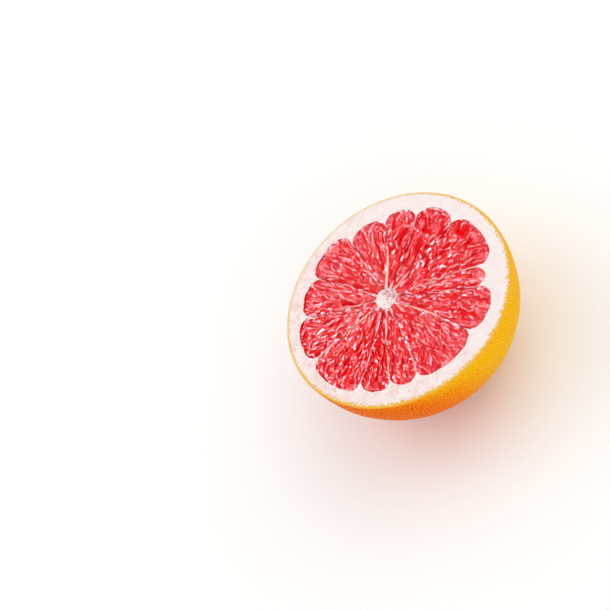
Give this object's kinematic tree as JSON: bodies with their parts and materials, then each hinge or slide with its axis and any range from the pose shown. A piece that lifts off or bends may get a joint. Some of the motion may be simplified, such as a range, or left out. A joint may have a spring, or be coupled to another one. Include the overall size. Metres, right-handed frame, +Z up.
{
  "type": "halved pomelo",
  "caption": "Half of a round citrus fruit lying on its peel with the cut face up, showing white pith, thin membranes, a small core and juicy red segments.",
  "frame": {"origin": "on the surface the half rests on, below the middle of the fruit, at the centre of the small flat spot under its dome", "axes": "+Z up, square to the cut face; +X and +Y lie in the cut face, and the thinnest band of the rind is on the -X side"},
  "size_m": [0.1084, 0.1076, 0.054],
  "materials": {
    "peel": "satin",
    "pith": "matte",
    "pulp": "gloss"
  },
  "bodies": {
    "root": {"peel": "peel", "pith": "pith", "pulp_01": "pulp", "pulp_02": "pulp", "pulp_03": "pulp", "pulp_04": "pulp", "pulp_05": "pulp", "pulp_06": "pulp", "pulp_07": "pulp", "pulp_08": "pulp", "pulp_09": "pulp", "pulp_10": "pulp", "pulp_11": "pulp", "pulp_12": "pulp", "pulp_13": "pulp"}
  },
  "joints": []
}
